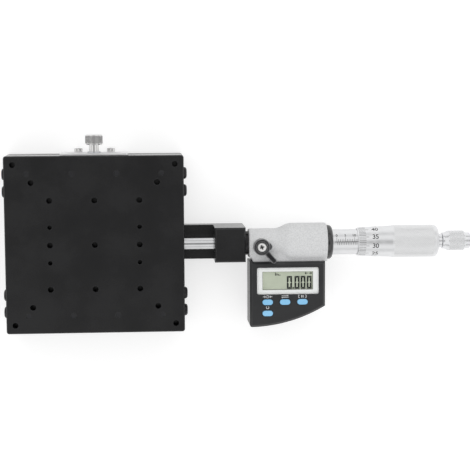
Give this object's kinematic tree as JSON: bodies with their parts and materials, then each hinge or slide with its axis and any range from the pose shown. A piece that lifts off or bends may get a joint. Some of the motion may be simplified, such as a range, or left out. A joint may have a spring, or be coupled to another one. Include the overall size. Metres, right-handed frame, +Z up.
{
  "type": "linear translation stage",
  "caption": "Flat crossed-roller translation stage driven by a digital micrometer head on a side bracket, with a knurled table lock.",
  "frame": {"origin": "centre of the base's bottom face", "axes": "+X along the travel towards the micrometer, +Y towards the table lock, +Z up out of the table"},
  "size_m": [0.2676, 0.1113, 0.0292],
  "materials": {
    "anodised_black": "black anodised aluminium, fine satin",
    "blackened_steel": "blackened alloy steel fasteners",
    "rail_steel": "ground bearing steel",
    "bright_steel": "satin stainless steel",
    "polished_steel": "ground and polished steel",
    "satin_chrome": "satin chrome plate",
    "nickel": "nickel plate",
    "cage_brass": "stamped brass strip",
    "cast_grey": "light grey textured enamel on a casting",
    "black_plastic": "black moulded plastic",
    "charcoal_plastic": "charcoal moulded plastic",
    "white_plastic": "white surround",
    "clear_plastic": "clear acrylic",
    "lcd_green": "grey-green display glass",
    "key_blue": "sky-blue moulded keys",
    "board_green": "printed board",
    "encoder_brass": "plated encoder ring",
    "rubber_black": "black rubber"
  },
  "bodies": {
    "base": {"base_plate": "anodised_black", "base_rail_front": "rail_steel", "base_rail_rear": "rail_steel", "base_rail_screws": "blackened_steel", "base_end_screws": "blackened_steel", "base_spring_pins": "bright_steel", "lock_plate": "bright_steel", "lock_plate_screws": "blackened_steel", "bracket": "anodised_black", "bracket_screws": "blackened_steel", "stem_set_screw": "blackened_steel", "stem": "bright_steel", "stem_collar": "blackened_steel", "micrometer_frame": "cast_grey", "end_ring": "black_plastic", "inner_sleeve": "rail_steel", "sleeve": "satin_chrome", "adjusting_nut": "rail_steel", "encoder_stator": "board_green", "clamp_pin": "bright_steel", "display_housing": "charcoal_plastic", "display_back": "charcoal_plastic", "display_screws": "blackened_steel", "lcd_bezel": "white_plastic", "lcd_window": "clear_plastic", "lcd_panel": "lcd_green", "circuit_board": "board_green", "battery": "bright_steel", "battery_cover": "charcoal_plastic", "data_port_cover": "rubber_black", "return_springs": "bright_steel"},
    "table": {"table_plate": "anodised_black", "table_rail_front": "rail_steel", "table_rail_rear": "rail_steel", "table_rail_screws": "blackened_steel", "table_end_screws": "blackened_steel", "preload_screws": "blackened_steel", "drive_block": "rail_steel", "drive_block_screws": "blackened_steel", "drive_pad": "polished_steel", "table_spring_pins": "bright_steel"},
    "cage_front": {"cage_front": "cage_brass", "rollers_front": "polished_steel"},
    "cage_rear": {"cage_rear": "cage_brass", "rollers_rear": "polished_steel"},
    "lock_washer": {"lock_washer": "bright_steel"},
    "lock_screw": {"lock_screw": "nickel"},
    "rotor": {"encoder_rotor": "encoder_brass"},
    "spindle": {"spindle": "polished_steel", "thimble": "satin_chrome", "ratchet_post": "satin_chrome"},
    "ratchet": {"ratchet_knob": "satin_chrome", "ratchet_cap": "polished_steel"},
    "lever": {"lock_lever": "black_plastic", "lever_screw": "nickel"},
    "button_zero": {"button_zero": "key_blue"},
    "button_unit": {"button_unit": "key_blue"},
    "button_hold": {"button_hold": "key_blue"},
    "button_power": {"button_power": "key_blue"}
  },
  "joints": [
    {"name": "thimble_turn", "type": "hinge", "parent": "base", "child": "rotor", "pos_m": [0.115, -0.0012, 0.0165], "axis": [1, 0, 0], "range_deg": [-9010, 9010]},
    {"name": "spindle_feed", "type": "slide", "parent": "rotor", "child": "spindle", "axis": [1, 0, 0], "range_m": [-0.01255, 0.01255]},
    {"name": "table_slide", "type": "slide", "parent": "base", "child": "table", "axis": [1, 0, 0], "range_m": [-0.0125, 0.0125], "deforming": ["return_springs"]},
    {"name": "cage_front_slide", "type": "slide", "parent": "base", "child": "cage_front", "axis": [1, 0, 0], "range_m": [-0.0063, 0.0063]},
    {"name": "cage_rear_slide", "type": "slide", "parent": "base", "child": "cage_rear", "axis": [1, 0, 0], "range_m": [-0.0063, 0.0063]},
    {"name": "ratchet_turn", "type": "hinge", "parent": "spindle", "child": "ratchet", "pos_m": [0.205, -0.0012, 0.0165], "axis": [1, 0, 0], "continuous": true},
    {"name": "lock_screw_turn", "type": "hinge", "parent": "lock_washer", "child": "lock_screw", "pos_m": [0, 0.055, 0.018], "axis": [0, 1, 0], "range_deg": [0, 541]},
    {"name": "lock_screw_feed", "type": "slide", "parent": "table", "child": "lock_washer", "axis": [0, 1, 0], "range_m": [0, 0.00105]},
    {"name": "lever_turn", "type": "hinge", "parent": "base", "child": "lever", "pos_m": [0.0938, -0.0025, 0.0265], "axis": [0, 0, 1], "range_deg": [0, 60]},
    {"name": "button_zero_press", "type": "slide", "parent": "base", "child": "button_zero", "axis": [0, 0, -1], "range_m": [0, 0.00045], "stiffness_N_per_m": 1200, "springref_m": -0.0004},
    {"name": "button_unit_press", "type": "slide", "parent": "base", "child": "button_unit", "axis": [0, 0, -1], "range_m": [0, 0.00045], "stiffness_N_per_m": 1200, "springref_m": -0.0004},
    {"name": "button_hold_press", "type": "slide", "parent": "base", "child": "button_hold", "axis": [0, 0, -1], "range_m": [0, 0.00045], "stiffness_N_per_m": 1200, "springref_m": -0.0004},
    {"name": "button_power_press", "type": "slide", "parent": "base", "child": "button_power", "axis": [0, 0, -1], "range_m": [0, 0.00045], "stiffness_N_per_m": 1200, "springref_m": -0.0004}
  ],
  "couplings": [
    {"joint": "thimble_turn", "follows": "table_slide", "rad_per_m": 12566},
    {"joint": "spindle_feed", "follows": "table_slide", "ratio": 1},
    {"joint": "cage_front_slide", "follows": "table_slide", "ratio": 0.5},
    {"joint": "cage_rear_slide", "follows": "table_slide", "ratio": 0.5},
    {"joint": "lock_screw_turn", "follows": "lock_screw_feed", "rad_per_m": 8976}
  ]
}
